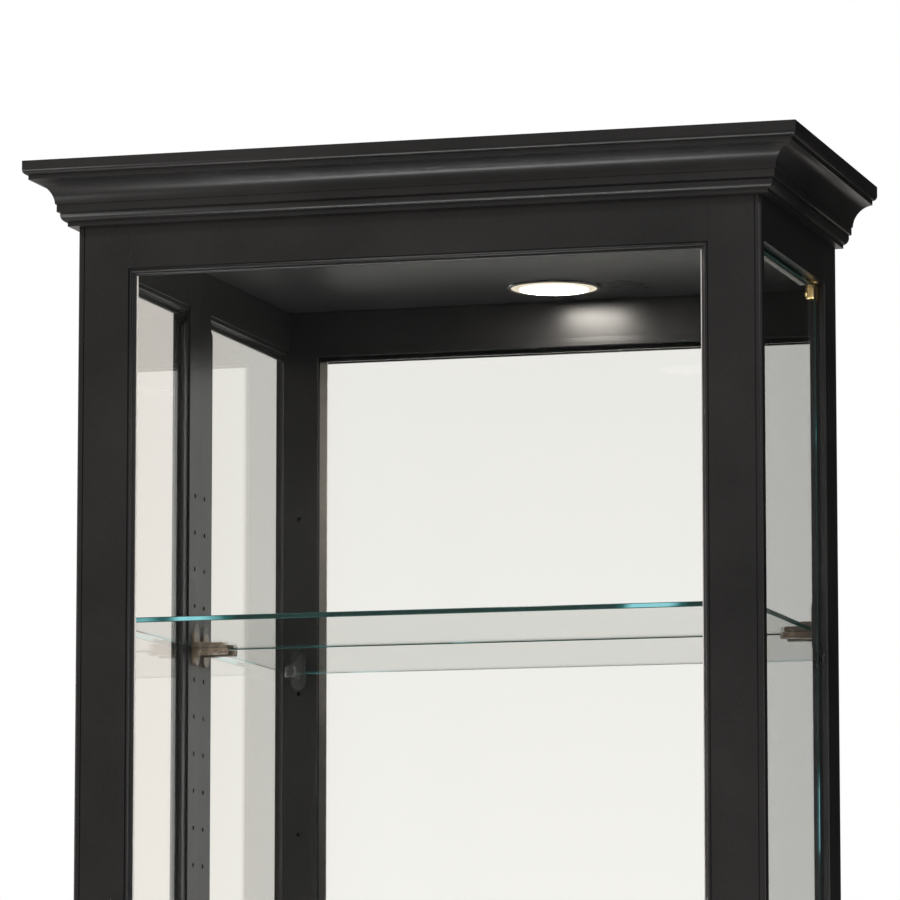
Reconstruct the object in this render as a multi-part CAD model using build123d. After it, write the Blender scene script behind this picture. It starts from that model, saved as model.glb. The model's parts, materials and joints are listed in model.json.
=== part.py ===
from build123d import *
import os

# Free-standing glass display showcase: a black painted wooden carcass with a mitred
# crown, a fixed front glass and left glass, a mirrored back, four glass shelves, a light
# in the ceiling, and on the right a frameless glass door that turns on brass pivots.
#
# Frame: millimetres, +Z up, the front looks along -Y, the origin is the bottom centre
# of the whole object's box. "Depth" is measured backwards from the carcass's front
# face and "inset" inwards from its side face. Left and right are as seen from the front.

# ---------------------------------------------------------------- driving dimensions
HEIGHT = 1930.0            # floor to the crown's top
WIDTH = 690.0              # carcass, without the crown
DEPTH = 335.0              # carcass, without the crown
CROWN_OUT = 44.0           # how far the crown stands out of the carcass
CROWN_TALL = 61.5

FRAME = 19.0               # thickness of the front frame's wood
WALL = 20.0                # thickness of the side frames' wood
STILE = 52.0               # face width of a front stile
TOP_RAIL_LOW = 1825.5      # lower edge of the front top rail
BOTTOM_RAIL_TOP = 163.0
BEAD = 7.5                 # width of the glazing bead
LIP = 7.0                  # depth of the front glass's face
RABBET = 8.0               # width of the rabbet behind it, in the stiles and rails
GLASS = 5.0                # shelves, door and side glass
FRONT_GLASS = 4.0
GASKET = 2.4               # thickness of the gaskets between bead and front glass

WOOD_LOW = 30.0            # lower end of the stiles and posts
WOOD_TOP = 1912.0          # upper end of the stiles and posts
POST_FRONT = 285.0         # depth at which the rear posts begin
MIRROR_AT = 318.0          # depth of the mirror's face
MIRROR = 3.0
BACK_PANEL = 4.0
CEILING_LOW = 1874.0
CEILING = 13.0
DECK_TOP = 152.0
DECK = 16.0

DOOR_OPEN_LOW = 164.0      # the right side's opening
DOOR_OPEN_TOP = 1825.0
DOOR_INSET = 9.0           # outer face of the side glasses, behind the side face
DOOR_FRONT = 13.5          # depth of the door's free edge
DOOR_BACK = 282.0          # depth of the door's hinge edge
DOOR_LOW = 167.0
DOOR_TOP = 1822.0
PIVOT_DEPTH = 275.0
PIVOT_R = 3.0
RUNNING = 0.05             # radial clearance of pivots, lock plugs and leveller threads
CLAMP_CAP = 1.2            # how far a hinge clamp stands over the glass's end
CLAMP_REACH = 15.0         # how far it reaches along the glass
FLANGE = 0.8               # flange of the hinge sockets

SIDE_OPEN_LOW = 152.0      # the left side's opening, with a fixed glass
SIDE_OPEN_TOP = 1832.0
SIDE_BEAD = 11.0           # width of the bead outside the fixed side glass
SIDE_BEAD_REAR = 24.0      # the same, along the rear post
SIDE_BEAD_THICK = 3.7
SIDE_STOP = 4.0            # stops inside the fixed side glass
SIDE_STOP_REAR = 13.0      # width of the stop along the rear post

LOCK_Z = 965.0
LOCK_DEPTH = 41.0

HOLE_PITCH = 38.1          # the shelf-support holes
HOLE_TOP_Z = 1636.2
HOLE_COUNT = 36
HOLE_R = 2.5
HOLE_DEPTH_AT = 303.0      # depth of the hole column in the rear posts
FRONT_HOLE_INSET = 33.0    # inset of the supports on the front stiles
SHELF_HOLES = (4, 13, 22, 31)

PLINTH = 18.0
PLINTH_LOW = 8.0
PLINTH_TOP = 112.0
CAP_TALL = 24.0            # moulding on top of the plinth

SCREW_R = 1.8              # back panel screws
SCREW_BITE = 10.0

LAMP_DEPTH = 112.0         # centre of the ceiling light
LAMP_R = 47.5

LEVELLER_INSET = 55.0
LEVELLER_DEPTHS = (55.0, 285.0)
STUD_R = 4.0

HALF = WIDTH / 2
FRONT_Y = (CROWN_OUT - DEPTH) / 2      # carcass front, so that the whole box is centred
EPS = 1.0                              # overshoot of cutting tools


# ---------------------------------------------------------------- helpers
def depth_y(depth):
    """The Y of a depth measured backwards from the carcass's front face."""
    return FRONT_Y + depth


def block(x0, x1, d0, d1, z0, z1):
    """A box between two X, two depths and two heights."""
    centre = Pos((x0 + x1) / 2, depth_y((d0 + d1) / 2), (z0 + z1) / 2)
    return centre * Box(abs(x1 - x0), abs(d1 - d0), abs(z1 - z0))


def side_block(i0, i1, d0, d1, z0, z1):
    """A box of the right side, between two insets from the side face."""
    return block(HALF - i1, HALF - i0, d0, d1, z0, z1)


def rod_z(x, depth, z0, z1, radius):
    return Pos(x, depth_y(depth), (z0 + z1) / 2) * Cylinder(radius, z1 - z0)


def rod_y(x, z, d0, d1, radius):
    return Pos(x, depth_y((d0 + d1) / 2), z) * Rot(90, 0, 0) * Cylinder(radius, d1 - d0)


def rod_x(i0, i1, depth, z, radius):
    """A rod along X on the right side, between two insets."""
    x = HALF - (i0 + i1) / 2
    return Pos(x, depth_y(depth), z) * Rot(0, 90, 0) * Cylinder(radius, i1 - i0)


def left(shape):
    """The left-hand twin of a right-hand piece."""
    return mirror(shape, about=Plane.YZ)


def outline(start, steps):
    """A closed face from a start point and steps: a point, or (middle, end) of an arc."""
    edges = []
    at = start
    for step in steps:
        if isinstance(step[0], tuple):
            edges.append(ThreePointArc(at, step[0], step[1]))
            at = step[1]
        else:
            edges.append(Line(at, step))
            at = step
    edges.append(Line(at, start))
    return make_face(edges)


def plan_prism(points, z0, z1):
    """A vertical prism from (x, depth) points."""
    corners = [(x, depth_y(depth)) for x, depth in points]
    return extrude(Plane.XY.offset(z0) * make_face(Polyline(*corners, close=True)), z1 - z0)


def face_prism(points, d0, d1):
    """A prism along Y from (x, z) points of the front's plane."""
    plane = Plane(origin=(0, depth_y(d1), 0), x_dir=(1, 0, 0), z_dir=(0, -1, 0))
    return extrude(plane * make_face(Polyline(*points, close=True)), d1 - d0)


def surround(profile, z_top, tall, out):
    """A moulding round the front and both sides, mitred at the front corners.

    The profile is in (out, height) with height 0 at z_top. It returns the front, left
    and right lengths.
    """
    front_plane = Plane(origin=(HALF + out, FRONT_Y, z_top), x_dir=(0, -1, 0), z_dir=(-1, 0, 0))
    right_plane = Plane(origin=(HALF, depth_y(DEPTH), z_top), x_dir=(1, 0, 0), z_dir=(0, -1, 0))
    edge = HALF + out
    low = z_top - tall
    front_keep = plan_prism([(-edge, -out), (edge, -out), (HALF, 0), (-HALF, 0)], low, z_top)
    right_keep = plan_prism([(edge, -out), (edge, DEPTH), (HALF, DEPTH), (HALF, 0)], low, z_top)
    front = extrude(front_plane * profile, 2 * edge) & front_keep
    right = extrude(right_plane * profile, DEPTH + out) & right_keep
    return front, left(right), right


def picture_frame(profile, x_edge, z_low, z_top, width):
    """Four mitred strips round an opening, from a profile in (inwards, depth)."""
    tall = z_top - z_low
    span = 2 * x_edge
    inner = x_edge - width
    top_plane = Plane(origin=(-x_edge, FRONT_Y, z_top), x_dir=(0, 0, -1), z_dir=(1, 0, 0))
    bottom_plane = Plane(origin=(x_edge, FRONT_Y, z_low), x_dir=(0, 0, 1), z_dir=(-1, 0, 0))
    right_plane = Plane(origin=(x_edge, FRONT_Y, z_top), x_dir=(-1, 0, 0), z_dir=(0, 0, -1))
    low_in = z_low + width
    top_in = z_top - width

    def wedge(*points):
        return face_prism(points, -FRAME, 2 * FRAME)

    keep_top = wedge((-x_edge, z_top), (x_edge, z_top), (inner, top_in), (-inner, top_in))
    keep_low = wedge((-x_edge, z_low), (x_edge, z_low), (inner, low_in), (-inner, low_in))
    keep_right = wedge((x_edge, z_low), (x_edge, z_top), (inner, top_in), (inner, low_in))
    right = extrude(right_plane * profile, tall) & keep_right
    top = extrude(top_plane * profile, span) & keep_top
    low = extrude(bottom_plane * profile, span) & keep_low
    return [top, low, right, left(right)]


def hole_heights():
    return [HOLE_TOP_Z - HOLE_PITCH * k for k in range(HOLE_COUNT)]


def shelf_heights():
    """The hole that carries each shelf's supports."""
    return [HOLE_TOP_Z - HOLE_PITCH * k for k in SHELF_HOLES]


# ---------------------------------------------------------------- crown and plinth
def crown():
    """Fascia, rounded edge, large cove, ovolo and fillet, over a flat soffit."""
    profile = outline(
        (0, 0),
        [
            (44, 0),
            (44, -9),
            ((42.6, -12.6), (39, -14.2)),
            (39, -18.4),
            ((25.1, -25.2), (18.5, -40.5)),
            (17.2, -40.5),
            (17.2, -48),
            (14.2, -48.6),
            ((13.6, -54.4), (8.6, -58)),
            (8.6, -CROWN_TALL),
            (0, -CROWN_TALL),
        ],
    )
    return surround(profile, HEIGHT, CROWN_TALL, CROWN_OUT)


def base_cap():
    """The moulding that closes the step between plinth and carcass."""
    profile = outline(
        (0, 0),
        [
            (3, 0),
            (3, -3.5),
            ((9.2, -6.6), (11.5, -13)),
            (15, -13),
            ((19.4, -15.0), (21, -19.5)),
            (21, -CAP_TALL),
            (0, -CAP_TALL),
        ],
    )
    return surround(profile, PLINTH_TOP + CAP_TALL, CAP_TALL, 21)


def plinth():
    """Front and side boards, mitred at the front corners."""
    out = PLINTH
    profile = outline((0, 0), [(out, 0), (out, PLINTH_LOW - PLINTH_TOP), (0, PLINTH_LOW - PLINTH_TOP)])
    return surround(profile, PLINTH_TOP, PLINTH_TOP - PLINTH_LOW, out)


# ---------------------------------------------------------------- front frame
def front_stile(open_low, open_top):
    """Right front stile: beaded outer corner, with rabbets for the side and front glass."""
    stile = side_block(0, STILE, 0, FRAME, WOOD_LOW, WOOD_TOP)
    corner = stile.edges().filter_by(Axis.Z).sort_by(Axis.Y)[:2].sort_by(Axis.X)[-1]
    stile = fillet(corner, 2.4)
    stile -= side_block(5.6, 6.9, -EPS, 1.3, WOOD_LOW, WOOD_TOP)
    stile -= side_block(-EPS, 14.5, 12, FRAME + EPS, open_low, open_top)
    stile -= front_rabbet()
    x = HALF - FRONT_HOLE_INSET
    for z in shelf_heights():
        for offset in (0, 27, -27, 163):
            stile -= rod_y(x, z + offset, FRAME - 9, FRAME + EPS, HOLE_R)
    return stile


def front_rabbet():
    """The space behind the lip of the front frame, for the glass and its retainers."""
    edge = HALF - STILE + RABBET
    return block(-edge, edge, LIP, FRAME + EPS, BOTTOM_RAIL_TOP - RABBET, TOP_RAIL_LOW + RABBET)


def front_rail(z0, z1):
    return block(-HALF + STILE, HALF - STILE, 0, FRAME, z0, z1) - front_rabbet()


def glazing_bead():
    """Quirk, round bead and a slope down to the gasket, mitred at the four corners."""
    back = LIP - GASKET
    profile = outline(
        (0, 1.6),
        [
            (1.0, 1.6),
            ((2.9, -0.3), (4.8, 1.6)),
            (4.8, 2.2),
            ((6.4, 2.6), (BEAD, 3.8)),
            (BEAD, back),
            (0, back),
        ],
    )
    return picture_frame(profile, HALF - STILE, BOTTOM_RAIL_TOP, TOP_RAIL_LOW, BEAD)


def glass_gaskets():
    """Translucent strips before the front glass; the upright ones stand a little proud."""
    edge = HALF - STILE
    lip = BEAD + 1.0
    depths = (LIP - GASKET, LIP)
    upright = block(edge - lip, edge, *depths, BOTTOM_RAIL_TOP, TOP_RAIL_LOW)
    top = block(lip - edge, edge - lip, *depths, TOP_RAIL_LOW - BEAD + 2, TOP_RAIL_LOW)
    low = block(lip - edge, edge - lip, *depths, BOTTOM_RAIL_TOP, BOTTOM_RAIL_TOP + BEAD - 2)
    return [top, low, upright, left(upright)]


def front_glass():
    edge = HALF - STILE + RABBET - 1.0
    z0, z1 = BOTTOM_RAIL_TOP - RABBET + 1.0, TOP_RAIL_LOW + RABBET - 1.0
    return block(-edge, edge, LIP, LIP + FRONT_GLASS, z0, z1)


def glass_retainers():
    """Wooden strips that hold the front glass in its rabbet."""
    back = LIP + FRONT_GLASS
    width = RABBET + 1.0
    profile = outline((0, back), [(width - 1.4, back), (width, back + 1.4), (width, FRAME), (0, FRAME)])
    edges = (HALF - STILE + RABBET, BOTTOM_RAIL_TOP - RABBET, TOP_RAIL_LOW + RABBET)
    return picture_frame(profile, *edges, width)


# ---------------------------------------------------------------- sides and back
def rear_post():
    """Right rear post: beaded outer corner, support holes, two back rabbets."""
    post = side_block(0, WALL, POST_FRONT, DEPTH, WOOD_LOW, WOOD_TOP)
    corner = post.edges().filter_by(Axis.Z).sort_by(Axis.Y)[:2].sort_by(Axis.X)[-1]
    post = fillet(corner, 2.4)
    post -= side_block(6.2, 7.4, POST_FRONT - EPS, POST_FRONT + 1.2, WOOD_LOW - EPS, WOOD_TOP + EPS)
    post -= side_block(14, WALL + EPS, MIRROR_AT, DEPTH + EPS, WOOD_LOW - EPS, WOOD_TOP + EPS)
    post -= side_block(8, WALL + EPS, MIRROR_AT + MIRROR, DEPTH + EPS, WOOD_LOW - EPS, WOOD_TOP + EPS)
    for z in hole_heights():
        post -= rod_x(WALL - 9, WALL + EPS, HOLE_DEPTH_AT, z, HOLE_R)
    return post - pilot_holes(lambda x: x > HALF - WALL)


def pivot_bore(z0, z1):
    """The seat of a hinge socket in a side rail."""
    return rod_z(HALF - DOOR_INSET - GLASS / 2, PIVOT_DEPTH, z0, z1, 6.0)


def side_rail(z0, z1):
    """A rail of the right side, between the front stile and the rear post."""
    return side_block(0, WALL, FRAME, POST_FRONT, z0, z1)


def door_rails():
    """The right side's top and bottom rail, bored for the hinge sockets."""
    top = side_rail(DOOR_OPEN_TOP, WOOD_TOP) - pivot_bore(DOOR_OPEN_TOP - EPS, DOOR_OPEN_TOP + 12)
    low = side_rail(WOOD_LOW, DOOR_OPEN_LOW) - pivot_bore(DOOR_OPEN_LOW - 12, DOOR_OPEN_LOW + EPS)
    return top, low


def side_glass():
    """The fixed sheet of the left side."""
    inner = DOOR_INSET + GLASS
    low, top = SIDE_OPEN_LOW + 1, SIDE_OPEN_TOP - 1
    sheet = side_block(DOOR_INSET, inner, DOOR_FRONT, POST_FRONT - 0.5, low, top)
    faces = sheet.edges().group_by(Axis.X)
    return left(chamfer(faces[0] + faces[-1], 0.5))


def side_beads():
    """Round-edged beads outside the fixed side glass: top, bottom and rear."""
    i0, i1 = DOOR_INSET - SIDE_BEAD_THICK, DOOR_INSET
    rear = POST_FRONT - SIDE_BEAD_REAR
    top = side_block(i0, i1, FRAME, POST_FRONT, SIDE_OPEN_TOP - SIDE_BEAD, SIDE_OPEN_TOP)
    low = side_block(i0, i1, FRAME, POST_FRONT, SIDE_OPEN_LOW, SIDE_OPEN_LOW + SIDE_BEAD)
    post = side_block(i0, i1, rear, POST_FRONT, SIDE_OPEN_LOW + SIDE_BEAD, SIDE_OPEN_TOP - SIDE_BEAD)
    top = fillet(top.edges().filter_by(Axis.Y).group_by(Axis.Z)[0], 1.2)
    low = fillet(low.edges().filter_by(Axis.Y).group_by(Axis.Z)[-1], 1.2)
    post = fillet(post.edges().filter_by(Axis.Z).group_by(Axis.Y)[0], 1.2)
    return [left(strip) for strip in (top, low, post)]


def side_glass_stops():
    """Stops inside the fixed side glass; the wider upright one has a round upper end."""
    i0 = DOOR_INSET + GLASS
    i1 = i0 + SIDE_STOP
    top = side_block(i0, i1, FRAME, POST_FRONT, SIDE_OPEN_TOP - SIDE_STOP, SIDE_OPEN_TOP)
    low = side_block(i0, i1, FRAME, POST_FRONT, SIDE_OPEN_LOW, SIDE_OPEN_LOW + SIDE_STOP)
    z0, z1 = SIDE_OPEN_LOW + SIDE_STOP, SIDE_OPEN_TOP - 16
    post = side_block(i0, i1, POST_FRONT - SIDE_STOP_REAR, POST_FRONT, z0, z1)
    post = fillet(post.edges().filter_by(Axis.X).group_by(Axis.Z)[-1].sort_by(Axis.Y)[0], 6)
    post = fillet(post.edges().group_by(Axis.X)[0].group_by(Axis.Y)[0], 1.5)
    return [left(strip) for strip in (top, low, post)]


def door_stops():
    """Clear bumper strips inside the door's opening, ending short of the pivots."""
    top = side_block(14.3, WALL, FRAME, 248, DOOR_OPEN_TOP - 7, DOOR_OPEN_TOP)
    top = fillet(top.edges().filter_by(Axis.X).group_by(Axis.Y)[-1].sort_by(Axis.Z)[0], 5)
    low = side_block(14.3, WALL, FRAME, 248, DOOR_OPEN_LOW, DOOR_OPEN_LOW + 7)
    low = fillet(low.edges().filter_by(Axis.X).group_by(Axis.Y)[-1].sort_by(Axis.Z)[-1], 5)
    return [top, low]


def hinge_sockets():
    """Brass flanged bushes in the two rails, which the door's pivots turn in."""
    x = HALF - DOOR_INSET - GLASS / 2
    pieces = []
    for mouth, up in ((DOOR_OPEN_TOP, 1), (DOOR_OPEN_LOW, -1)):
        z0, z1 = sorted((mouth, mouth + up * 12))
        f0, f1 = sorted((mouth, mouth - up * FLANGE))
        socket = rod_z(x, PIVOT_DEPTH, z0, z1, 6.0) + rod_z(x, PIVOT_DEPTH, f0, f1, 7.5)
        b0, b1 = sorted((mouth + up * 9, mouth - up * 2))
        pieces.append(socket - rod_z(x, PIVOT_DEPTH, b0, b1, PIVOT_R + RUNNING))
    return pieces


def rear_rails():
    """Cross rails above the ceiling and below the deck, which carry the back panel."""
    inner = HALF - WALL
    back = MIRROR_AT + MIRROR
    top = block(-inner, inner, back - 18, back, CEILING_LOW + CEILING, WOOD_TOP)
    low = block(-inner, inner, back - 18, back, WOOD_LOW, DECK_TOP - DECK)
    pilots = pilot_holes(lambda x: abs(x) < inner)
    x, z = grommet_place()
    lead_hole = rod_y(x, z, back - 19, back + EPS, 5)
    return [top - pilots - lead_hole, low - pilots]


def back_mirror():
    edge = HALF - 14 - 1.0
    return block(-edge, edge, MIRROR_AT, MIRROR_AT + MIRROR, DECK_TOP - DECK, CEILING_LOW + CEILING)


def back_panel_screw_places():
    edge = HALF - 12.5
    places = [(side * edge, 120 + 290 * k) for side in (-1, 1) for k in range(7)]
    places += [(x, z) for x in (-210, 0, 210) for z in (105, 1898)]
    return places


def pilot_holes(wanted):
    """The bores that the back panel's screws bite into, where wanted(x) is true."""
    back = MIRROR_AT + MIRROR
    bores = [
        rod_y(x, z, back - SCREW_BITE, back + EPS, SCREW_R)
        for x, z in back_panel_screw_places()
        if wanted(x)
    ]
    return Part() + bores


def grommet_place():
    return (250.0, 1898.0)


def back_panel():
    """Thin board screwed into the rabbets, with a hole for the light's lead."""
    front = MIRROR_AT + MIRROR
    edge = HALF - 8 - 0.5
    panel = block(-edge, edge, front, front + BACK_PANEL, 90, 1908)
    for x, z in back_panel_screw_places():
        panel -= rod_y(x, z, front - EPS, front + BACK_PANEL + EPS, SCREW_R)
    x, z = grommet_place()
    return panel - rod_y(x, z, front - EPS, front + BACK_PANEL + EPS, 7)


def back_panel_screws():
    front = MIRROR_AT + MIRROR
    screws = []
    for x, z in back_panel_screw_places():
        head = rod_y(x, z, front + BACK_PANEL, front + BACK_PANEL + 2.4, 3.8)
        head = fillet(head.edges().sort_by(Axis.Y)[-1], 1.6)
        shank = rod_y(x, z, front - SCREW_BITE, front + BACK_PANEL, SCREW_R)
        recess = (front + BACK_PANEL + 1.4, front + BACK_PANEL + 3)
        slot = block(x - 2.4, x + 2.4, *recess, z - 0.5, z + 0.5)
        cross = block(x - 0.5, x + 0.5, *recess, z - 2.4, z + 2.4)
        screws.append(head + shank - slot - cross)
    return screws


def cord_grommet():
    """Rubber ring in the back panel where the light's lead would pass."""
    front = MIRROR_AT + MIRROR
    face = front + BACK_PANEL
    x, z = grommet_place()
    ring = rod_y(x, z, front, face, 7) + rod_y(x, z, face, face + 2.5, 10)
    ring = fillet(ring.edges().sort_by(Axis.Y)[-1], 1.2)
    return ring - rod_y(x, z, front - EPS, front + BACK_PANEL + 4, 4)


# ---------------------------------------------------------------- inside panels and light
def top_panel():
    return block(-HALF, HALF, 0, DEPTH, WOOD_TOP, WOOD_TOP + 8)


def ceiling_panel():
    inner = HALF - WALL
    panel = block(-inner, inner, FRAME, MIRROR_AT, CEILING_LOW, CEILING_LOW + CEILING)
    return panel - rod_z(0, LAMP_DEPTH, CEILING_LOW - EPS, CEILING_LOW + CEILING + EPS, LAMP_R)


def lamp_housing():
    """Pressed metal cup above the ceiling, open downwards."""
    cup = rod_z(0, LAMP_DEPTH, CEILING_LOW, CEILING_LOW + 36, LAMP_R - 0.3)
    cup = fillet(cup.edges().filter_by(GeomType.CIRCLE).sort_by(Axis.Z)[-1], 2)
    return cup - rod_z(0, LAMP_DEPTH, CEILING_LOW - EPS, CEILING_LOW + 34.8, LAMP_R - 1.5)


def lamp_trim():
    """Thin ring under the ceiling that carries the lens."""
    ring = rod_z(0, LAMP_DEPTH, CEILING_LOW - 2.2, CEILING_LOW, LAMP_R + 2.5)
    ring = fillet(ring.edges().filter_by(GeomType.CIRCLE).sort_by(Axis.Z)[0], 1.4)
    return ring - rod_z(0, LAMP_DEPTH, CEILING_LOW - 3, CEILING_LOW + EPS, LAMP_R - 1.5)


def lamp_lens():
    """Frosted glass disc that stands inside the trim ring and the cup."""
    lens = rod_z(0, LAMP_DEPTH, CEILING_LOW - 1.6, CEILING_LOW + 2.4, LAMP_R - 1.6)
    return fillet(lens.edges().filter_by(GeomType.CIRCLE).sort_by(Axis.Z)[0], 1)


def lamp_reflector():
    """Dished ring behind the bulb."""
    middle = Pos(0, depth_y(LAMP_DEPTH), CEILING_LOW + 13.2)
    return middle * Cone(LAMP_R - 1.6, 16, 16.4) - middle * Cone(LAMP_R - 2.4, 15, 17.4)


def lamp_bulb():
    """Two-pin capsule bulb, base up."""
    glass = rod_z(0, LAMP_DEPTH, CEILING_LOW + 10, CEILING_LOW + 22, 5)
    glass = fillet(glass.edges().filter_by(GeomType.CIRCLE).sort_by(Axis.Z)[0], 4.5)
    pins = rod_z(-2, LAMP_DEPTH, CEILING_LOW + 22, CEILING_LOW + 27, 0.5)
    return glass + pins + rod_z(2, LAMP_DEPTH, CEILING_LOW + 22, CEILING_LOW + 27, 0.5)


def lamp_holder():
    """Ceramic holder that the bulb's pins stand in."""
    body = rod_z(0, LAMP_DEPTH, CEILING_LOW + 22, CEILING_LOW + 34.8, 8)
    for x in (-2, 2):
        body -= rod_z(x, LAMP_DEPTH, CEILING_LOW + 22 - EPS, CEILING_LOW + 27, 0.5)
    return body


def bottom_deck():
    inner = HALF - WALL
    return block(-inner, inner, FRAME, MIRROR_AT, DECK_TOP - DECK, DECK_TOP)


def deck_cleats():
    """Battens along the side rails under the deck."""
    cleat = side_block(WALL, WALL + 16, 45, 290, DECK_TOP - DECK - 20, DECK_TOP - DECK)
    return [cleat, left(cleat)]


# ---------------------------------------------------------------- shelves and supports
def shelf(z_hole):
    """A sheet with ground edges and eased front corners; its top is 1.5 under the hole."""
    edge = HALF - WALL - 3.5
    sheet = block(-edge, edge, 23, 313, z_hole - 1.5 - GLASS, z_hole - 1.5)
    sheet = fillet(sheet.edges().filter_by(Axis.Z), 5)
    return chamfer(sheet.edges().group_by(Axis.Z)[0] + sheet.edges().group_by(Axis.Z)[-1], 0.7)


def support():
    """A locking shelf support: plate, peg, and two tongues that grip the glass.

    It is drawn with its plate on the plane Y = 0, reaching along +Y, at hole height 0.
    """
    plate = Pos(0, 1.5, 0) * Box(17, 3, 30) + Pos(0, 1.5, 15) * Rot(90, 0, 0) * Cylinder(8.5, 3)
    plate += Pos(0, 1.5, -15) * Rot(90, 0, 0) * Cylinder(8.5, 3)
    neck = Pos(0, 8, -4.5) * Box(11, 13, 17)
    low_tongue = Pos(0, 22, -9.5) * Box(11, 18, 6) + Pos(0, 31, -9.5) * Cylinder(5.5, 6)
    top_tongue = Pos(0, 20, 1.2) * Box(9, 16, 5) + Pos(0, 28, 1.2) * Cylinder(4.5, 5)
    body = plate + neck + low_tongue + top_tongue
    slot_low = -1.5 - GLASS
    slot = Pos(0, 53.3, slot_low + (GLASS + 0.2) / 2) * Box(20, 100, GLASS + 0.2)
    body -= slot
    for z in (-12.5, 3.7):
        rim = body.edges().filter_by(GeomType.CIRCLE).filter_by(lambda e, z=z: abs(e.center().Z - z) < 0.01)
        body = fillet(rim, 1.6)
    return body + Pos(0, -4, 0) * Rot(90, 0, 0) * Cylinder(HOLE_R - 0.05, 8)


def front_supports():
    pieces = []
    shape = support()
    for z in shelf_heights():
        piece = Pos(HALF - FRONT_HOLE_INSET, depth_y(FRAME), z) * shape
        pieces += [piece, left(piece)]
    return pieces


def rear_supports():
    pieces = []
    shape = Rot(0, 0, 90) * support()
    for z in shelf_heights():
        piece = Pos(HALF - WALL, depth_y(HOLE_DEPTH_AT), z) * shape
        pieces += [piece, left(piece)]
    return pieces


# ---------------------------------------------------------------- doors
def door_glass():
    """A frameless sheet with a hole for the lock."""
    sheet = side_block(DOOR_INSET, DOOR_INSET + GLASS, DOOR_FRONT, DOOR_BACK, DOOR_LOW, DOOR_TOP)
    sheet = fillet(sheet.edges().filter_by(Axis.X), 3)
    faces = sheet.edges().group_by(Axis.X)
    sheet = chamfer(faces[0] + faces[-1], 0.7)
    return sheet - rod_x(DOOR_INSET - EPS, DOOR_INSET + GLASS + EPS, LOCK_DEPTH, LOCK_Z, 8)


def hinge_clamp(edge, up):
    """A U over the glass's end with a pivot pin; up is 1 at the top and -1 below."""
    middle = DOOR_INSET + GLASS / 2
    z0, z1 = sorted((edge - up * CLAMP_REACH, edge + up * CLAMP_CAP))
    clamp = side_block(middle - 5.2, middle + 5.2, 260, DOOR_BACK, z0, z1)
    clamp = fillet(clamp.edges().filter_by(Axis.X), 2)
    g0, g1 = sorted((edge - up * (CLAMP_REACH + EPS), edge))
    clamp -= side_block(DOOR_INSET, DOOR_INSET + GLASS, 255, DOOR_BACK + 5, g0, g1)
    p0, p1 = sorted((edge + up * CLAMP_CAP / 2, edge + up * 10))
    return clamp + rod_z(HALF - middle, PIVOT_DEPTH, p0, p1, PIVOT_R)


def hinge_clamps():
    return [hinge_clamp(DOOR_TOP, 1), hinge_clamp(DOOR_LOW, -1)]


def hinge_screws():
    """Round-headed set screws on the inner side of each clamp."""
    face = DOOR_INSET + GLASS / 2 + 5.2
    screws = []
    for z in (DOOR_TOP - 8.5, DOOR_LOW + 8.5):
        for depth in (265.5, 276.5):
            head = rod_x(face, face + 3, depth, z, 3.4)
            screws.append(fillet(head.edges().filter_by(GeomType.CIRCLE).sort_by(Axis.X)[0], 1.5))
    return screws


def lock_body():
    """Cam-lock housing: an outer bezel, a barrel through the glass and an inner nut."""
    g0, g1 = DOOR_INSET, DOOR_INSET + GLASS
    bezel = rod_x(g0 - 3, g0, LOCK_DEPTH, LOCK_Z, 11)
    bezel = fillet(bezel.edges().filter_by(GeomType.CIRCLE).sort_by(Axis.X)[-1], 1.5)
    nut_face = Plane(origin=(HALF - g1, depth_y(LOCK_DEPTH), LOCK_Z), x_dir=(0, 1, 0), z_dir=(-1, 0, 0))
    nut = extrude(nut_face * RegularPolygon(11, 6), 4)
    barrel = rod_x(g0 - 3, g1 + 6, LOCK_DEPTH, LOCK_Z, 7.9)
    return bezel + nut + barrel - rod_x(g0 - 5, g1 + 8, LOCK_DEPTH, LOCK_Z, 5 + RUNNING)


def lock_cam():
    """Key plug with its cam arm, which hangs down while the door is unlocked."""
    g0, g1 = DOOR_INSET, DOOR_INSET + GLASS
    plug = rod_x(g0 - 3.6, g1 + 6.3, LOCK_DEPTH, LOCK_Z, 5)
    keyway = side_block(g0 - 6, g0 + 1, LOCK_DEPTH - 0.7, LOCK_DEPTH + 0.7, LOCK_Z - 3.2, LOCK_Z + 3.2)
    arm = rod_x(g1 + 6.3, g1 + 8.3, LOCK_DEPTH, LOCK_Z, 6.5)
    arm += side_block(g1 + 6.3, g1 + 8.3, LOCK_DEPTH - 5, LOCK_DEPTH + 5, LOCK_Z - 17, LOCK_Z)
    screw = rod_x(g1 + 8.3, g1 + 10.3, LOCK_DEPTH, LOCK_Z, 3.5)
    return plug - keyway + arm + screw


def lock_strike():
    """Brass angle on the back of the right front stile, which the cam hooks behind."""
    strike = side_block(17.5, 38, FRAME, FRAME + 1.5, LOCK_Z - 14, LOCK_Z + 14)
    return strike + side_block(17.5, 19, FRAME, FRAME + 8, LOCK_Z - 14, LOCK_Z + 14)


# ---------------------------------------------------------------- feet
def leveller_places():
    x = HALF - LEVELLER_INSET
    return {
        "front_left": (-x, LEVELLER_DEPTHS[0]),
        "front_right": (x, LEVELLER_DEPTHS[0]),
        "rear_left": (-x, LEVELLER_DEPTHS[1]),
        "rear_right": (x, LEVELLER_DEPTHS[1]),
    }


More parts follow.
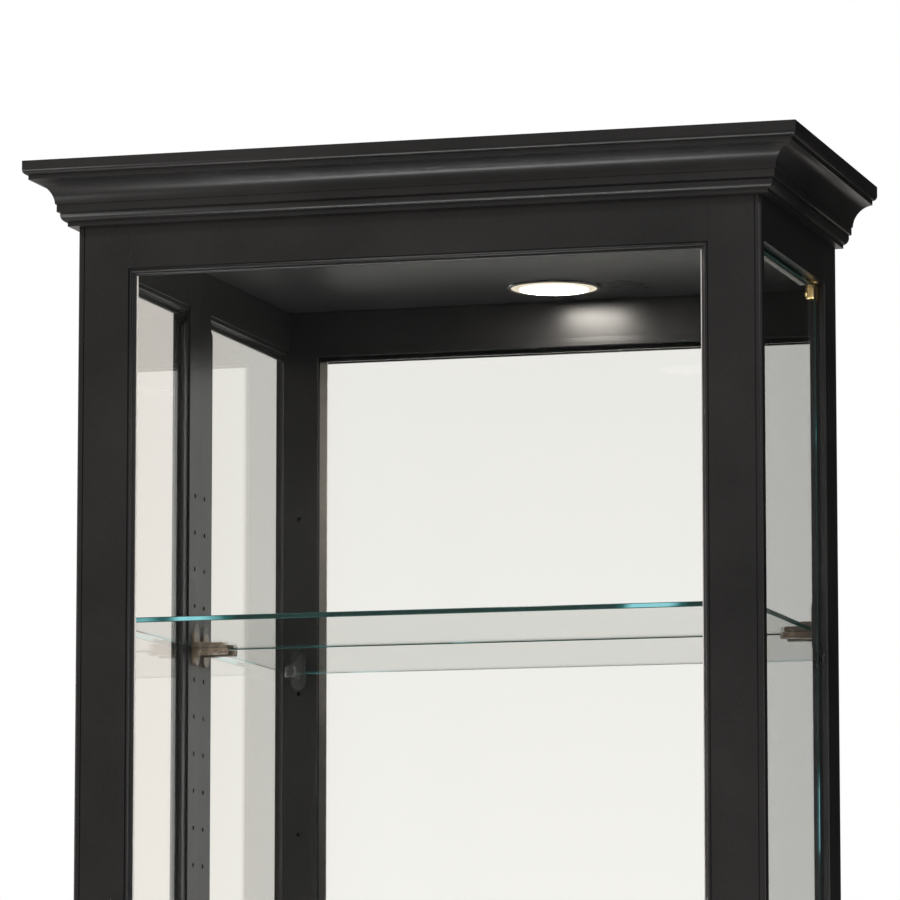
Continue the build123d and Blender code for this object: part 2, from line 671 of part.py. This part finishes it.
def leveller(x, depth):
    """Threaded stud on a round pad that stands on the floor."""
    pad = rod_z(x, depth, 0, 7, 16)
    pad = fillet(pad.edges().filter_by(GeomType.CIRCLE).sort_by(Axis.Z)[-1], 3)
    collar_face = Plane(origin=(x, depth_y(depth), 7), x_dir=(1, 0, 0), z_dir=(0, 0, 1))
    collar = extrude(collar_face * RegularPolygon(7.5, 6), 5)
    return pad + collar + rod_z(x, depth, 6, 60, STUD_R)


def corner_blocks():
    """Glue blocks in the four lower corners, bored for the levellers."""
    pieces = []
    for x, depth in leveller_places().values():
        d0, d1 = (FRAME, 85) if depth < 100 else (250, 303)
        x0, x1 = sorted((x - 28, x + 28))
        body = block(x0, x1, d0, d1, WOOD_LOW, 75)
        pieces.append(body - rod_z(x, depth, WOOD_LOW - EPS, 76, 6))
    return pieces


def leveller_nuts():
    """Flanged threaded inserts in the corner blocks."""
    pieces = []
    for x, depth in leveller_places().values():
        nut = rod_z(x, depth, WOOD_LOW, 52, 6) + rod_z(x, depth, WOOD_LOW - 2, WOOD_LOW, 11)
        pieces.append(nut - rod_z(x, depth, WOOD_LOW - 3, 53, STUD_R + RUNNING))
    return pieces


# ---------------------------------------------------------------- all nodes
def build():
    nodes = {}
    nodes["crown_front"], nodes["crown_left"], nodes["crown_right"] = crown()
    nodes["base_cap_moulding"] = base_cap()
    nodes["plinth_front"], nodes["plinth_left"], nodes["plinth_right"] = plinth()

    nodes["front_stile_left"] = left(front_stile(SIDE_OPEN_LOW, SIDE_OPEN_TOP))
    nodes["front_stile_right"] = front_stile(DOOR_OPEN_LOW, DOOR_OPEN_TOP)
    nodes["front_top_rail"] = front_rail(TOP_RAIL_LOW, WOOD_TOP)
    nodes["front_bottom_rail"] = front_rail(WOOD_LOW, BOTTOM_RAIL_TOP)
    nodes["glazing_bead"] = glazing_bead()
    nodes["front_glass"] = front_glass()
    nodes["glass_gaskets"] = glass_gaskets()
    nodes["glass_retainers"] = glass_retainers()

    nodes["rear_post_right"] = rear_post()
    nodes["rear_post_left"] = left(rear_post())
    nodes["side_top_rail_left"] = left(side_rail(SIDE_OPEN_TOP, WOOD_TOP))
    nodes["side_bottom_rail_left"] = left(side_rail(WOOD_LOW, SIDE_OPEN_LOW))
    nodes["side_glass"] = side_glass()
    nodes["side_beads"] = side_beads()
    nodes["side_glass_stops"] = side_glass_stops()
    nodes["side_top_rail_right"], nodes["side_bottom_rail_right"] = door_rails()
    nodes["door_stops"] = door_stops()
    nodes["hinge_sockets"] = hinge_sockets()
    nodes["rear_rails"] = rear_rails()
    nodes["back_mirror"] = back_mirror()
    nodes["back_panel"] = back_panel()
    nodes["back_panel_screws"] = back_panel_screws()
    nodes["cord_grommet"] = cord_grommet()

    nodes["top_panel"] = top_panel()
    nodes["ceiling_panel"] = ceiling_panel()
    nodes["lamp_housing"] = lamp_housing()
    nodes["lamp_trim"] = lamp_trim()
    nodes["lamp_lens"] = lamp_lens()
    nodes["lamp_reflector"] = lamp_reflector()
    nodes["lamp_bulb"] = lamp_bulb()
    nodes["lamp_holder"] = lamp_holder()
    nodes["bottom_deck"] = bottom_deck()
    nodes["deck_cleats"] = deck_cleats()

    for number, z in enumerate(shelf_heights(), start=1):
        nodes[f"shelf_{number}"] = shelf(z)
    nodes["front_shelf_supports"] = front_supports()
    nodes["rear_shelf_supports"] = rear_supports()

    nodes["door_glass"] = door_glass()
    nodes["hinge_clamps"] = hinge_clamps()
    nodes["hinge_screws"] = hinge_screws()
    nodes["lock_body"] = lock_body()
    nodes["lock_cam"] = lock_cam()
    nodes["lock_strike"] = lock_strike()

    nodes["corner_blocks"] = corner_blocks()
    nodes["leveller_nuts"] = leveller_nuts()
    for name, (x, depth) in leveller_places().items():
        nodes["leveller_" + name] = leveller(x, depth)
    return nodes


def solids_of(shape):
    """The separate solids of a node, whether it was made as one shape or as several."""
    pieces = shape if isinstance(shape, (list, tuple)) else [shape]
    return [solid for piece in pieces for solid in piece.solids()]


os.makedirs("parts", exist_ok=True)
for node, shape in build().items():
    solids = solids_of(shape)
    whole = solids[0] if len(solids) == 1 else Compound(children=solids)
    whole.label = node
    export_step(whole, f"parts/{node}.step")
    print(node, len(solids), "solid(s)")
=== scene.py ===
import json
import math

import bpy
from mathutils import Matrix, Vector


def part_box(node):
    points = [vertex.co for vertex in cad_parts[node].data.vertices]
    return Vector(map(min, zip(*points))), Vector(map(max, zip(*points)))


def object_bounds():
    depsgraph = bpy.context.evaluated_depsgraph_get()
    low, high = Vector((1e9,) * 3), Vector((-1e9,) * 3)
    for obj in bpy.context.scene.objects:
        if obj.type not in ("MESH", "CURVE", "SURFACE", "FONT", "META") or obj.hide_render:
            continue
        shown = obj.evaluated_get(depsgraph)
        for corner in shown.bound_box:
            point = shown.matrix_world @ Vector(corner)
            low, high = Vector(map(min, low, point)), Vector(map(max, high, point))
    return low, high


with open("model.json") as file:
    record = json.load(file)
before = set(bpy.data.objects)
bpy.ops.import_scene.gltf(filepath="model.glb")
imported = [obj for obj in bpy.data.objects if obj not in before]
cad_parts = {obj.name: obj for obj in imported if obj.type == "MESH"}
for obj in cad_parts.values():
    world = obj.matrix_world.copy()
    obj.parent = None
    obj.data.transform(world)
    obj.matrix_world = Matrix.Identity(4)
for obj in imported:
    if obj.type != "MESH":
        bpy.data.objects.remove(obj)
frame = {"nodes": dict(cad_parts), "record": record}
cad_low, cad_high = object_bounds()

# A glass display showcase: black satin paint over wood, clear float glass with green edges lit by a painted
# teal glow, a silvered back, brass door fittings and a small warm light in the ceiling. Every CAD node
# keeps its shape. Lengths are metres, in the CAD's own frame.

# ---------------------------------------------------------------- the looks, in a few numbers
CAMERA_AT = (1.49845, -5.20031, 0.94907)
CAMERA_PITCH = 7.407       # degrees above level
CAMERA_YAW = 16.13         # degrees to the left of straight back
CAMERA_LENS = 220.4        # mm on a 36 mm sensor

PAINT_BLACK = (0.0042, 0.0041, 0.0044, 1.0)
PAINT_WORN = (0.0120, 0.0115, 0.0118, 1.0)
PAINT_SHEEN = 0.22
CEILING_SHEEN = 0.12
LAMP_WARM = (1.0, 0.93, 0.86)
LAMP_WATTS = 1.5
LENS_GLOW = 1.6
# Painted glow: emission colours, dark to bright teal, that stand in for the light carried along the glass
# edges.
PAINTED_EDGE_GLOW = [
    (0.58, (0.004, 0.014, 0.008, 1)),
    (0.62, (0.008, 0.090, 0.085, 1)),
    (0.66, (0.240, 0.600, 0.640, 1)),
]
# Painted glow: a dimmer emission on the chamfers round the glass sheets.
PAINTED_BEVEL_GLOW = (0.02, 0.05, 0.045, 1)
SIDE_GLASS_TINT = (0.70, 0.85, 0.78, 1)
SIDE_GLASS_DENSITY = 8.0
GLASS_INDEX = 1.52
COATED_INDEX = 1.10        # the front glass hardly mirrors, as if coated against reflections
SHELF_INDEX = 1.12         # nor do the shelves, seen nearly edge-on
SKY_WHITE = (0.98, 0.955, 0.93, 1.0)
SKY_CREAM = (0.84, 0.77, 0.695, 1.0)
SKY_EDGE = (-0.335, -0.292)    # where the white wall of the studio turns into the cream one, along X
SKY_FADE = (0.04, 0.16)        # how high above the horizon it starts and stops getting dimmer
SKY_STRENGTH = (1.0, 0.9)      # below and above that
FLOOR_REACH = 30.0             # half the floor's width
FLAG_BEHIND = 2.0              # the black cards' distance behind the cabinet
FLAG_TALL = 5.0


# ---------------------------------------------------------------- node helpers
class Shader:
    """A material under construction: a Principled shader and its Object coordinates."""

    def __init__(self, name):
        self.material = bpy.data.materials.new(name)
        self.material.use_nodes = True
        self.tree = self.material.node_tree
        self.out = self.tree.nodes["Material Output"]
        self.main = self.tree.nodes["Principled BSDF"]
        self.where = self.add("ShaderNodeTexCoord").outputs["Object"]

    def add(self, kind, **settings):
        node = self.tree.nodes.new(kind)
        for key, value in settings.items():
            setattr(node, key, value)
        return node

    def link(self, output, target):
        self.tree.links.new(output, target)

    def set(self, **values):
        """Sets the shader's own sockets, with _ for the spaces in their names."""
        for key, value in values.items():
            self.main.inputs[key.replace("_", " ")].default_value = value
        return self

    def stretched(self, scale):
        """Object coordinates times a scale of its own on each axis."""
        mapping = self.add("ShaderNodeMapping")
        mapping.inputs["Scale"].default_value = scale
        self.link(self.where, mapping.inputs["Vector"])
        return mapping.outputs["Vector"]

    def noise(self, scale, detail=2.0, vector=None, rough=0.5):
        """Noise from 0 to 1; scale is features per metre."""
        node = self.add("ShaderNodeTexNoise")
        node.inputs["Scale"].default_value = scale
        node.inputs["Detail"].default_value = detail
        node.inputs["Roughness"].default_value = rough
        self.link(vector if vector is not None else self.where, node.inputs["Vector"])
        return node.outputs["Fac"]

    def ranged(self, value, low, high, start=0.3, end=0.7):
        """A value from start to end, turned into one from low to high."""
        node = self.add("ShaderNodeMapRange")
        node.inputs["From Min"].default_value = start
        node.inputs["From Max"].default_value = end
        node.inputs["To Min"].default_value = low
        node.inputs["To Max"].default_value = high
        self.link(value, node.inputs["Value"])
        return node.outputs["Result"]

    def ramp(self, value, stops):
        """A colour for each place on the value's way from 0 to 1."""
        node = self.add("ShaderNodeValToRGB")
        points = node.color_ramp.elements
        points[0].position = stops[0][0]
        points[1].position = stops[-1][0]
        for place, _ in stops[1:-1]:
            points.new(place)
        for point, (_, colour) in zip(points, stops):
            point.color = colour
        self.link(value, node.inputs["Fac"])
        return node.outputs["Color"]

    def bump(self, height, distance, strength=1.0, normal=None):
        node = self.add("ShaderNodeBump")
        node.inputs["Distance"].default_value = distance
        node.inputs["Strength"].default_value = strength
        self.link(height, node.inputs["Height"])
        if normal is not None:
            self.link(normal, node.inputs["Normal"])
        return node.outputs["Normal"]

    def colour(self, output):
        self.link(output, self.main.inputs["Base Color"])

    def roughness(self, output):
        self.link(output, self.main.inputs["Roughness"])

    def normal(self, output):
        self.link(output, self.main.inputs["Normal"])


# ---------------------------------------------------------------- materials
def black_paint(name, grain_axis, sheen=PAINT_SHEEN):
    """Sprayed satin paint with a faint orange peel, and the wood's grain just telegraphing."""
    s = Shader(name).set(Specular_IOR_Level=sheen)
    cloud = s.noise(7, 4)
    speckle = s.noise(520, 3, None, 0.7)
    tone = s.add("ShaderNodeMath", operation="MULTIPLY_ADD")
    tone.inputs[1].default_value = 0.6
    s.link(speckle, tone.inputs[0])
    s.link(cloud, tone.inputs[2])
    s.colour(s.ramp(tone.outputs["Value"], [(0.55, PAINT_BLACK), (1.0, PAINT_WORN)]))
    s.roughness(s.ranged(cloud, 0.27, 0.34))
    across = [700.0, 700.0, 700.0]
    across[grain_axis] = 14.0
    grain = s.noise(1, 3, s.stretched(across), 0.6)
    peel = s.noise(430, 2)
    s.normal(s.bump(peel, 0.00006, 0.8, s.bump(grain, 0.00003, 0.5)))
    return s.material


def bare_wood():
    s = Shader("bare_wood").set(Specular_IOR_Level=0.3)
    rings = s.noise(1, 4, s.stretched((60, 60, 9)), 0.6)
    pores = s.noise(1, 2, s.stretched((900, 900, 60)))
    s.colour(s.ramp(rings, [
        (0.3, (0.30, 0.19, 0.10, 1)),
        (0.5, (0.46, 0.31, 0.17, 1)),
        (0.72, (0.57, 0.42, 0.25, 1)),
    ]))
    s.roughness(s.ranged(pores, 0.62, 0.82))
    s.normal(s.bump(pores, 0.0001, 0.6))
    return s.material


def backing_board():
    """Hardboard stained black, with the felted fibres of its rough face."""
    s = Shader("backing_board").set(Specular_IOR_Level=0.25)
    fibres = s.noise(260, 5, None, 0.7)
    mottle = s.noise(9, 5)
    s.colour(s.ramp(mottle, [(0.3, (0.012, 0.011, 0.010, 1)), (0.7, (0.026, 0.023, 0.020, 1))]))
    s.roughness(s.ranged(fibres, 0.6, 0.85))
    s.normal(s.bump(fibres, 0.00018, 0.7))
    return s.material


def clear_glass(name, absorb, density, index=GLASS_INDEX, thin_axis=None):
    """Float glass: a refracting solid that tints with depth and lets lamps through.

    With a thin axis, the narrow faces round the sheet get a painted teal glow, an emission in place of the
    light that ground edges carry.
    """
    s = Shader(name).set(Base_Color=(1, 1, 1, 1), Roughness=0.0, IOR=index, Transmission_Weight=1.0)
    ripple = s.noise(5, 1)
    s.normal(s.bump(ripple, 0.00008, 0.2))
    through = s.add("ShaderNodeBsdfTransparent")
    through.inputs["Color"].default_value = (0.90, 0.92, 0.91, 1)
    lamp_ray = s.add("ShaderNodeLightPath").outputs["Is Shadow Ray"]
    mix = s.add("ShaderNodeMixShader")
    s.link(lamp_ray, mix.inputs["Fac"])
    s.link(s.main.outputs["BSDF"], mix.inputs[1])
    s.link(through.outputs["BSDF"], mix.inputs[2])
    surface = mix.outputs["Shader"]
    if thin_axis is not None:
        # painted glow on the edge faces of the sheet
        surface = painted_edge_glow(s, surface, thin_axis)
    s.link(surface, s.out.inputs["Surface"])
    volume = s.add("ShaderNodeVolumeAbsorption")
    volume.inputs["Color"].default_value = absorb
    volume.inputs["Density"].default_value = density
    s.link(volume.outputs["Volume"], s.out.inputs["Volume"])
    return s.material


def painted_edge_glow(s, sheet, thin_axis):
    """Mixes in a painted edge glow: a teal emitting shader where a face looks away from the sheet's own
    thin axis, dimmer on the bevels.
    """
    way = s.add("ShaderNodeSeparateXYZ")
    s.link(s.add("ShaderNodeTexCoord").outputs["Normal"], way.inputs["Vector"])
    facing = s.add("ShaderNodeMath", operation="ABSOLUTE")
    s.link(way.outputs[thin_axis], facing.inputs[0])
    # Painted glow: this shader emits teal light on the edge faces, though they are no lamp.
    edge = s.add("ShaderNodeBsdfPrincipled")
    edge.inputs["Roughness"].default_value = 0.15
    edge.inputs["Emission Strength"].default_value = 1.0
    # The painted glow's strength and hue vary along the edge with this noise.
    painted_glow_noise = s.noise(6.5, 2)
    teal = s.ramp(painted_glow_noise, PAINTED_EDGE_GLOW)
    # Painted glow on the chamfers takes the dimmer bevel colour.
    bevel_mask = s.ranged(facing.outputs["Value"], 0, 1, 0.3, 0.6)
    light = s.add("ShaderNodeMix", data_type="RGBA")
    s.link(bevel_mask, light.inputs["Factor"])
    s.link(teal, light.inputs["A"])
    light.inputs["B"].default_value = PAINTED_BEVEL_GLOW
    s.link(light.outputs["Result"], edge.inputs["Emission Color"])
    edge.inputs["Base Color"].default_value = (0.004, 0.012, 0.012, 1)
    edge.inputs["Specular IOR Level"].default_value = 0.1
    blend = s.add("ShaderNodeMixShader")
    s.link(s.ranged(facing.outputs["Value"], 1, 0, 0.85, 0.95), blend.inputs["Fac"])
    s.link(sheet, blend.inputs[1])
    s.link(edge.outputs["BSDF"], blend.inputs[2])
    return blend.outputs["Shader"]


def mirror_silver():
    s = Shader("mirror_silver").set(Base_Color=(0.93, 0.945, 0.93, 1), Metallic=1.0)
    haze = s.noise(30, 3)
    s.roughness(s.ranged(haze, 0.0, 0.012))
    return s.material


def polished_brass():
    s = Shader("polished_brass").set(Metallic=1.0)
    stain = s.noise(160, 4)
    s.colour(s.ramp(stain, [(0.35, (0.78, 0.55, 0.23, 1)), (0.7, (0.90, 0.69, 0.34, 1))]))
    s.roughness(s.ranged(stain, 0.12, 0.26))
    fine = s.noise(1, 2, s.stretched((400, 2600, 2600)))
    s.normal(s.bump(fine, 0.00001, 0.5))
    return s.material


def zinc_steel():
    s = Shader("zinc_steel").set(Metallic=1.0)
    spangle = s.noise(300, 4)
    s.colour(s.ramp(spangle, [(0.3, (0.42, 0.42, 0.43, 1)), (0.7, (0.62, 0.62, 0.61, 1))]))
    s.roughness(s.ranged(spangle, 0.28, 0.45))
    return s.material


def bronze_plastic():
    """Translucent brown moulding of the shelf supports."""
    s = Shader("bronze_plastic").set(IOR=1.49, Transmission_Weight=0.12, Specular_IOR_Level=0.5)
    flow = s.noise(120, 3)
    s.colour(s.ramp(flow, [(0.3, (0.062, 0.042, 0.028, 1)), (0.7, (0.105, 0.074, 0.050, 1))]))
    s.roughness(s.ranged(flow, 0.18, 0.30))
    s.normal(s.bump(s.noise(900, 2), 0.00003, 0.4))
    return s.material


def clear_plastic(name, clearness):
    """The cloudy gaskets on the front glass, or the clearer front shelf supports."""
    s = Shader(name).set(IOR=1.45, Transmission_Weight=clearness)
    streak = s.noise(90, 2)
    s.colour(s.ramp(streak, [(0.3, (0.74, 0.70, 0.68, 1)), (0.7, (0.82, 0.78, 0.76, 1))]))
    s.roughness(s.ranged(streak, 0.10, 0.20))
    return s.material


def smoked_plastic():
    """The door's bumper strips: dark, with a clear sheen."""
    s = Shader("smoked_plastic").set(IOR=1.47)
    streak = s.noise(90, 2)
    s.colour(s.ramp(streak, [(0.3, (0.016, 0.015, 0.012, 1)), (0.7, (0.030, 0.028, 0.022, 1))]))
    s.roughness(s.ranged(streak, 0.12, 0.22))
    return s.material


def lamp_lens(centre, radius):
    """Frosted lens lit from behind: white over the bulb, tan where the reflector shows."""
    s = Shader("lamp_lens").set(Base_Color=(0.16, 0.14, 0.11, 1), Roughness=0.4)
    offset = s.add("ShaderNodeVectorMath", operation="SUBTRACT")
    s.link(s.where, offset.inputs[0])
    offset.inputs[1].default_value = centre
    flat = s.add("ShaderNodeVectorMath", operation="MULTIPLY")
    flat.inputs[1].default_value = (1, 1, 0)
    s.link(offset.outputs["Vector"], flat.inputs[0])
    distance = s.add("ShaderNodeVectorMath", operation="LENGTH")
    s.link(flat.outputs["Vector"], distance.inputs[0])
    out = s.ranged(distance.outputs["Value"], 0.0, 1.0, 0.0, radius)
    glow = s.ramp(out, [
        (0.0, (1.0, 0.97, 0.93, 1)),
        (0.55, (1.0, 0.95, 0.89, 1)),
        (0.84, (0.34, 0.28, 0.21, 1)),
        (0.97, (0.46, 0.40, 0.33, 1)),
    ])
    s.link(glow, s.main.inputs["Emission Color"])
    s.main.inputs["Emission Strength"].default_value = LENS_GLOW
    s.normal(s.bump(s.noise(500, 3), 0.00015, 0.6))
    return s.material


def painted_metal(name, dark, light, rough):
    s = Shader(name).set(Specular_IOR_Level=0.4)
    cloud = s.noise(140, 4)
    s.colour(s.ramp(cloud, [(0.3, dark), (0.7, light)]))
    s.roughness(s.ranged(cloud, rough - 0.05, rough + 0.07))
    s.normal(s.bump(s.noise(700, 2), 0.00003, 0.4))
    return s.material


def bright_reflector():
    s = Shader("bright_reflector").set(Metallic=1.0)
    spun = s.noise(1, 2, s.stretched((60, 60, 1800)))
    s.colour(s.ramp(spun, [(0.3, (0.74, 0.73, 0.70, 1)), (0.7, (0.88, 0.87, 0.84, 1))]))
    s.roughness(s.ranged(spun, 0.12, 0.24))
    return s.material


def bulb_glass():
    s = Shader("bulb_glass").set(Base_Color=(1, 0.97, 0.92, 1), Transmission_Weight=0.9, IOR=1.46)
    s.roughness(s.ranged(s.noise(300, 2), 0.02, 0.1))
    s.main.inputs["Emission Color"].default_value = (*LAMP_WARM, 1)
    s.main.inputs["Emission Strength"].default_value = 2.0
    return s.material


def glazed_ceramic():
    s = Shader("glazed_ceramic")
    cloud = s.noise(200, 3)
    s.colour(s.ramp(cloud, [(0.3, (0.72, 0.70, 0.64, 1)), (0.7, (0.82, 0.80, 0.75, 1))]))
    s.roughness(s.ranged(cloud, 0.35, 0.5))
    return s.material


def black_rubber():
    s = Shader("black_rubber").set(Specular_IOR_Level=0.35)
    bloom = s.noise(180, 4)
    s.colour(s.ramp(bloom, [(0.3, (0.014, 0.014, 0.014, 1)), (0.75, (0.032, 0.031, 0.030, 1))]))
    s.roughness(s.ranged(bloom, 0.55, 0.75))
    s.normal(s.bump(s.noise(1200, 2), 0.00004, 0.5))
    return s.material


def dress_nodes():
    """Gives each CAD node the material of its slot, with the paint's grain along the board."""
    lens_low, lens_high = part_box("lamp_lens")
    lens_centre = (lens_low + lens_high) / 2
    paints = [black_paint("black_paint_" + axis, k) for k, axis in enumerate("xyz")]
    finishes = {
        "raw_wood": bare_wood(),
        "backing_board": backing_board(),
        "clear_glass": clear_glass("front_float_glass", (0.75, 0.85, 0.80, 1), 5.0, COATED_INDEX),
        "door_glass": clear_glass("side_float_glass", SIDE_GLASS_TINT, SIDE_GLASS_DENSITY, thin_axis="X"),
        "shelf_glass": clear_glass(
            "shelf_float_glass", (0.45, 0.80, 0.72, 1), 4.0, SHELF_INDEX, thin_axis="Z"),
        "frosted_glass": lamp_lens(lens_centre, (lens_high.x - lens_low.x) / 2),
        "bulb_glass": bulb_glass(),
        "mirror": mirror_silver(),
        "brass": polished_brass(),
        "steel": zinc_steel(),
        "lamp_metal": painted_metal("lamp_can", (0.55, 0.54, 0.52, 1), (0.68, 0.67, 0.65, 1), 0.4),
        "lamp_trim": painted_metal(
            "lamp_bezel", (0.006, 0.005, 0.005, 1), (0.014, 0.012, 0.010, 1), 0.3),
        "reflector": bright_reflector(),
        "ceramic": glazed_ceramic(),
        "clear_plastic": clear_plastic("cloudy_plastic", 0.35),
        "bronze_plastic": bronze_plastic(),
        "rubber": black_rubber(),
    }
    own_finishes = {
        "side_glass": clear_glass("fixed_float_glass", SIDE_GLASS_TINT, SIDE_GLASS_DENSITY),
        "door_stops": smoked_plastic(),
        "front_shelf_supports": clear_plastic("support_plastic", 0.97),
        "ceiling_panel": black_paint("ceiling_paint", 0, CEILING_SHEEN),
    }
    for part in frame["record"]["subparts"]:
        node = frame["nodes"][part["node"]]
        if part["node"] in own_finishes:
            finish = own_finishes[part["node"]]
        elif part["material_slot"] == "painted_wood":
            low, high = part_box(part["node"])
            size = high - low
            longest = max(range(3), key=lambda k: size[k])
            finish = paints[longest]
        else:
            finish = finishes[part["material_slot"]]
        for place in node.material_slots:
            place.material = finish


# ---------------------------------------------------------------- edges
def ease_edges(names, width, segments=2):
    """Rounds a node's sharp edges a little, so that they catch the light."""
    for name in names:
        node = frame["nodes"][name]
        weld = node.modifiers.new("weld", "WELD")
        weld.merge_threshold = 0.000005
        bevel = node.modifiers.new("ease", "BEVEL")
        bevel.width = width
        bevel.segments = segments
        bevel.limit_method = "ANGLE"
        bevel.angle_limit = math.radians(40)
        bevel.use_clamp_overlap = True
        bevel.harden_normals = True


# ---------------------------------------------------------------- studio
def studio_floor():
    mesh = bpy.data.meshes.new("floor")
    far = FLOOR_REACH
    mesh.from_pydata([(-far, -far, 0), (far, -far, 0), (far, far, 0), (-far, far, 0)], [], [(0, 1, 2, 3)])
    floor = bpy.data.objects.new("floor", mesh)
    bpy.context.scene.collection.objects.link(floor)
    s = Shader("pale_floor").set(Specular_IOR_Level=0.0)
    cloud = s.noise(0.6, 3)
    s.colour(s.ramp(cloud, [(0.3, (0.74, 0.735, 0.725, 1)), (0.7, (0.77, 0.765, 0.755, 1))]))
    s.main.inputs["Roughness"].default_value = 0.7
    mesh.materials.append(s.material)


def black_flag(name, x0, x1, seen_through_glass):
    """A dark card behind and to the right, which keeps the reflections of that side black."""
    mesh = bpy.data.meshes.new(name)
    y, z0, z1 = cad_high.y + FLAG_BEHIND, 0.0, FLAG_TALL
    mesh.from_pydata([(x0, y, z0), (x1, y, z0), (x1, y, z1), (x0, y, z1)], [], [(0, 1, 2, 3)])
    flag = bpy.data.objects.new(name, mesh)
    bpy.context.scene.collection.objects.link(flag)
    s = Shader(name + "_cloth").set(Base_Color=(0.01, 0.01, 0.01, 1), Roughness=1.0, Specular_IOR_Level=0.0)
    mesh.materials.append(s.material)
    flag.visible_camera = False
    flag.visible_diffuse = False
    flag.visible_shadow = False
    flag.visible_transmission = seen_through_glass


def area_light(name, place, towards, size, power, lights_floor=True):
    """A strip of white light; the camera doesn't see it, and it may leave the floor dark."""
    light = bpy.data.lights.new(name, "AREA")
    light.shape = "RECTANGLE"
    light.size, light.size_y = size
    light.energy = power
    holder = bpy.data.objects.new(name, light)
    bpy.context.scene.collection.objects.link(holder)
    holder.location = place
    holder.rotation_euler = (Vector(towards) - Vector(place)).to_track_quat("-Z", "Y").to_euler()
    holder.visible_camera = False
    holder.visible_diffuse = lights_floor


def ceiling_lamp():
    """The light that the lens throws down; the lens itself is what shows."""
    low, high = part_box("lamp_lens")
    light = bpy.data.lights.new("ceiling_lamp", "AREA")
    light.shape = "DISK"
    light.size = (high.x - low.x) * 0.8
    light.energy = LAMP_WATTS
    light.color = LAMP_WARM
    holder = bpy.data.objects.new("ceiling_lamp", light)
    bpy.context.scene.collection.objects.link(holder)
    holder.location = ((low.x + high.x) / 2, (low.y + high.y) / 2, low.z - 0.0015)
    holder.visible_camera = False
    holder.visible_transmission = False


def studio_world():
    world = bpy.data.worlds.new("studio")
    bpy.context.scene.world = world
    world.use_nodes = True
    tree = world.node_tree
    sky = tree.nodes["Background"]
    way = tree.nodes.new("ShaderNodeSeparateXYZ")
    tree.links.new(tree.nodes.new("ShaderNodeTexCoord").outputs["Generated"], way.inputs["Vector"])
    side = tree.nodes.new("ShaderNodeMapRange")
    side.inputs["From Min"].default_value, side.inputs["From Max"].default_value = SKY_EDGE
    tree.links.new(way.outputs["X"], side.inputs["Value"])
    wall = tree.nodes.new("ShaderNodeMix")
    wall.data_type = "RGBA"
    wall.inputs["A"].default_value = SKY_CREAM
    wall.inputs["B"].default_value = SKY_WHITE
    tree.links.new(side.outputs["Result"], wall.inputs["Factor"])
    tree.links.new(wall.outputs["Result"], sky.inputs["Color"])
    fade = tree.nodes.new("ShaderNodeMapRange")
    fade.inputs["From Min"].default_value, fade.inputs["From Max"].default_value = SKY_FADE
    fade.inputs["To Min"].default_value, fade.inputs["To Max"].default_value = SKY_STRENGTH
    tree.links.new(way.outputs["Z"], fade.inputs["Value"])
    tree.links.new(fade.outputs["Result"], sky.inputs["Strength"])
    backdrop = tree.nodes.new("ShaderNodeBackground")
    backdrop.inputs["Color"].default_value = (1, 1, 1, 1)
    path = tree.nodes.new("ShaderNodeLightPath")
    mix = tree.nodes.new("ShaderNodeMixShader")
    tree.links.new(path.outputs["Is Camera Ray"], mix.inputs["Fac"])
    tree.links.new(sky.outputs["Background"], mix.inputs[1])
    tree.links.new(backdrop.outputs["Background"], mix.inputs[2])
    tree.links.new(mix.outputs["Shader"], tree.nodes["World Output"].inputs["Surface"])


def camera():
    data = bpy.data.cameras.new("camera")
    data.lens = CAMERA_LENS
    data.sensor_width = 36.0
    data.clip_end = 100.0
    holder = bpy.data.objects.new("camera", data)
    bpy.context.scene.collection.objects.link(holder)
    holder.location = CAMERA_AT
    holder.rotation_euler = (math.radians(90 + CAMERA_PITCH), 0, math.radians(CAMERA_YAW))
    bpy.context.scene.camera = holder


camera()
dress_nodes()
ease_edges([n for n in ("front_stile_left", "front_stile_right", "front_top_rail", "front_bottom_rail",
                        "side_top_rail_left", "side_top_rail_right", "side_bottom_rail_left",
                        "side_bottom_rail_right", "crown_front", "crown_left", "crown_right",
                        "plinth_front", "plinth_left", "plinth_right", "base_cap_moulding",
                        "ceiling_panel", "top_panel", "bottom_deck", "glazing_bead", "glass_retainers",
                        "side_beads", "side_glass_stops", "rear_post_left", "rear_post_right",
                        "rear_rails")], 0.0005)
studio_world()
studio_floor()
flag_split = cad_high.x + 0.8
black_flag("narrow_flag", cad_high.x - 0.15, flag_split, True)
black_flag("wide_flag", flag_split, flag_split + 4.0, False)
front_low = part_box("plinth_front")[0]
floor_strip_y = front_low.y - 0.35
area_light("floor_strip", (-0.2, floor_strip_y, 0.02), (-0.2, floor_strip_y + 0.05, 3.0), (2.2, 0.25), 34)
area_light("left_strip", (-3.0, -1.9, 1.3), (0, 0, 1.3), (0.35, 2.6), 55, lights_floor=False)
area_light("right_strip", (3.2, -1.0, 1.3), (0.3, -0.2, 1.3), (0.30, 2.6), 24, lights_floor=False)
area_light("top_strip", (-0.5, -1.4, 3.3), (0, 0, 1.7), (2.2, 0.3), 30)
ceiling_lamp()
bpy.context.scene.view_settings.view_transform = "Standard"
